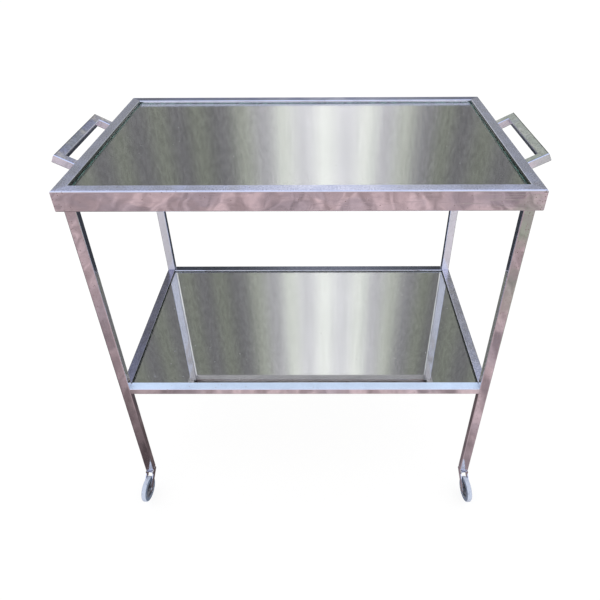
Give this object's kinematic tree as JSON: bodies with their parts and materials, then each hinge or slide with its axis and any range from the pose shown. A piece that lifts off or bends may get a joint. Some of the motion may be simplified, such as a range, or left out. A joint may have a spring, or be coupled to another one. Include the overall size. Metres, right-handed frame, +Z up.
{
  "type": "bar cart",
  "caption": "Two-tier bar cart with a chromed tube frame, recessed mirror panes, a raised tube handle at each end and swivel casters.",
  "frame": {"origin": "on the floor, under the middle of the cart", "axes": "+X along the long side, towards the right-hand handle; +Y from the front long side to the back one; +Z up"},
  "size_m": [0.8104, 0.4976, 0.756],
  "materials": {
    "chrome": "chromed steel tube, lightly scratched and pitted",
    "ledge": "plain steel strip",
    "glass": "smoked float glass, greenish at its edges",
    "silvering": "silvered back of a smoked mirror",
    "pad": "small rubber pads",
    "caster_plastic": "moulded grey plastic",
    "zinc_steel": "zinc-plated steel, turned",
    "tyre": "pale grey non-marking rubber"
  },
  "bodies": {
    "cart": {"top_front_rail": "chrome", "top_back_rail": "chrome", "top_left_rail": "chrome", "top_right_rail": "chrome", "top_front_ledge": "ledge", "top_back_ledge": "ledge", "top_left_ledge": "ledge", "top_right_ledge": "ledge", "top_glass": "glass", "top_silvering": "silvering", "shelf_front_rail": "chrome", "shelf_back_rail": "chrome", "shelf_left_rail": "chrome", "shelf_right_rail": "chrome", "shelf_front_ledge": "ledge", "shelf_back_ledge": "ledge", "shelf_left_ledge": "ledge", "shelf_right_ledge": "ledge", "shelf_glass": "glass", "shelf_silvering": "silvering", "glass_pads": "pad", "front_left_leg": "chrome", "front_right_leg": "chrome", "back_left_leg": "chrome", "back_right_leg": "chrome", "left_handle_grip": "chrome", "left_handle_front_arm": "chrome", "left_handle_back_arm": "chrome", "right_handle_grip": "chrome", "right_handle_front_arm": "chrome", "right_handle_back_arm": "chrome", "front_left_socket": "caster_plastic", "front_left_cup": "zinc_steel", "front_right_socket": "caster_plastic", "front_right_cup": "zinc_steel", "back_left_socket": "caster_plastic", "back_left_cup": "zinc_steel", "back_right_socket": "caster_plastic", "back_right_cup": "zinc_steel"},
    "front_left_caster": {"front_left_stem": "zinc_steel", "front_left_fork": "chrome", "front_left_axle": "zinc_steel"},
    "front_left_wheel": {"front_left_hub": "caster_plastic", "front_left_tyre": "tyre"},
    "front_right_caster": {"front_right_stem": "zinc_steel", "front_right_fork": "chrome", "front_right_axle": "zinc_steel"},
    "front_right_wheel": {"front_right_hub": "caster_plastic", "front_right_tyre": "tyre"},
    "back_left_caster": {"back_left_stem": "zinc_steel", "back_left_fork": "chrome", "back_left_axle": "zinc_steel"},
    "back_left_wheel": {"back_left_hub": "caster_plastic", "back_left_tyre": "tyre"},
    "back_right_caster": {"back_right_stem": "zinc_steel", "back_right_fork": "chrome", "back_right_axle": "zinc_steel"},
    "back_right_wheel": {"back_right_hub": "caster_plastic", "back_right_tyre": "tyre"}
  },
  "joints": [
    {"name": "front_left_swivel", "type": "hinge", "parent": "cart", "child": "front_left_caster", "pos_m": [-0.343, -0.193, 0.06], "axis": [0, 0, 1], "continuous": true},
    {"name": "front_left_roll", "type": "hinge", "parent": "front_left_caster", "child": "front_left_wheel", "pos_m": [-0.34666, -0.22278, 0.026], "axis": [0.9925, -0.1219, 0], "continuous": true},
    {"name": "front_right_swivel", "type": "hinge", "parent": "cart", "child": "front_right_caster", "pos_m": [0.343, -0.193, 0.06], "axis": [0, 0, 1], "continuous": true},
    {"name": "front_right_roll", "type": "hinge", "parent": "front_right_caster", "child": "front_right_wheel", "pos_m": [0.34666, -0.22278, 0.026], "axis": [0.9925, 0.1219, 0], "continuous": true},
    {"name": "back_left_swivel", "type": "hinge", "parent": "cart", "child": "back_left_caster", "pos_m": [-0.343, 0.193, 0.06], "axis": [0, 0, 1], "continuous": true},
    {"name": "back_left_roll", "type": "hinge", "parent": "back_left_caster", "child": "back_left_wheel", "pos_m": [-0.34666, 0.22278, 0.026], "axis": [-0.9925, -0.1219, 0], "continuous": true},
    {"name": "back_right_swivel", "type": "hinge", "parent": "cart", "child": "back_right_caster", "pos_m": [0.343, 0.193, 0.06], "axis": [0, 0, 1], "continuous": true},
    {"name": "back_right_roll", "type": "hinge", "parent": "back_right_caster", "child": "back_right_wheel", "pos_m": [0.34666, 0.22278, 0.026], "axis": [-0.9925, 0.1219, 0], "continuous": true}
  ]
}
